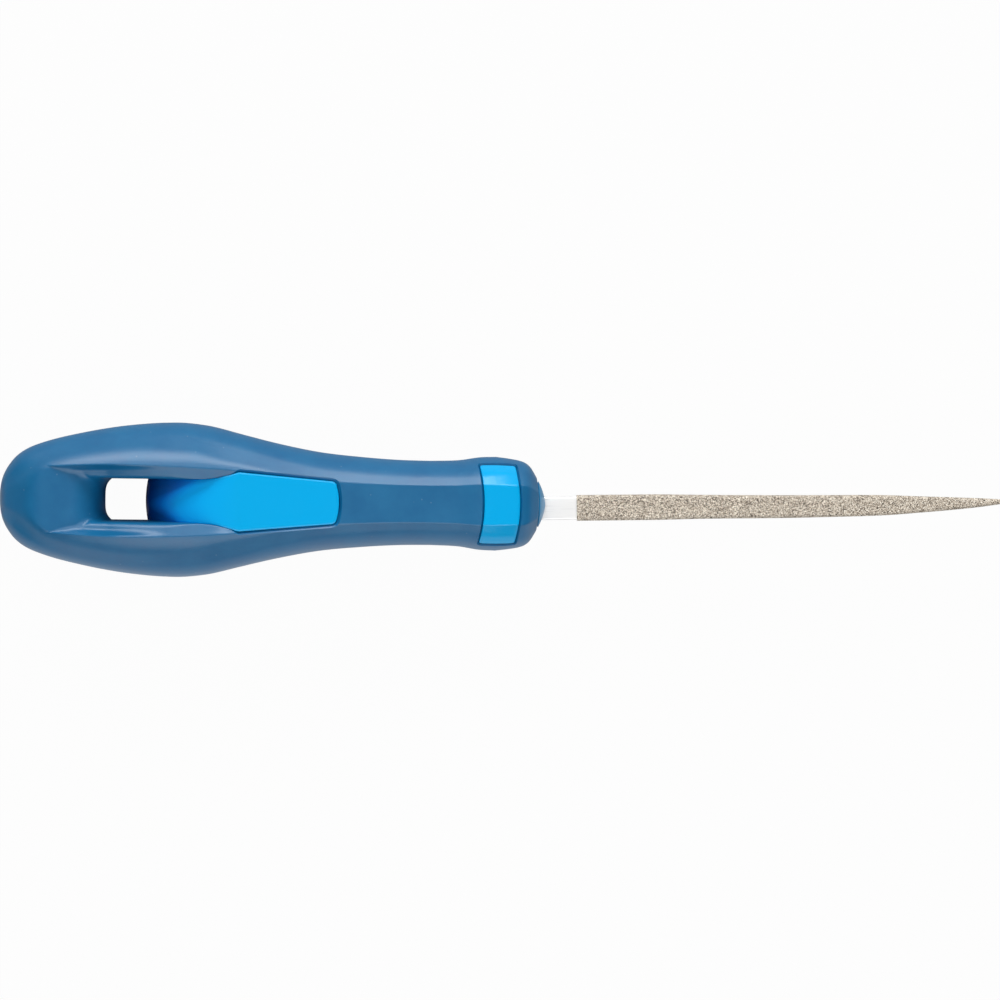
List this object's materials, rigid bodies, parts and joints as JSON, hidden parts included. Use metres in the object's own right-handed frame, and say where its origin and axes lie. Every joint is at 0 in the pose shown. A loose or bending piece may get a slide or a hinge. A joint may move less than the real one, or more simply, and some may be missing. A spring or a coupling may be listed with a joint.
{
  "type": "diamond file",
  "caption": "Flat pointed diamond-coated hand file with a bare shank, set in a bulbous two-part moulded handle with an octagonal neck and a hang hole.",
  "frame": {"origin": "centre of the overall box in X and Y, at the height of the bulb's underside", "axes": "+X along the handle's axis towards the file's tip, +Z along the hang hole, out of the face that the picture shows, +Y across the handle"},
  "size_m": [0.22, 0.034, 0.0264],
  "materials": {
    "grip": "soft dark blue thermoplastic rubber, satin",
    "core": "light blue moulded hard plastic, semi-gloss",
    "nose": "blue moulded plastic, satin",
    "steel": "ground bright steel",
    "grit": "diamond grit bonded in nickel, tan grey and coarse"
  },
  "bodies": {
    "handle": {"grip_overmould": "grip", "handle_core": "core", "nose_bush": "nose"},
    "file": {"file_blank": "steel", "diamond_coating": "grit"}
  },
  "joints": [
    {"name": "file_pull", "type": "slide", "parent": "handle", "child": "file", "axis": [0.9996, 0.0274, 0], "range_m": [0, 0.05]}
  ]
}
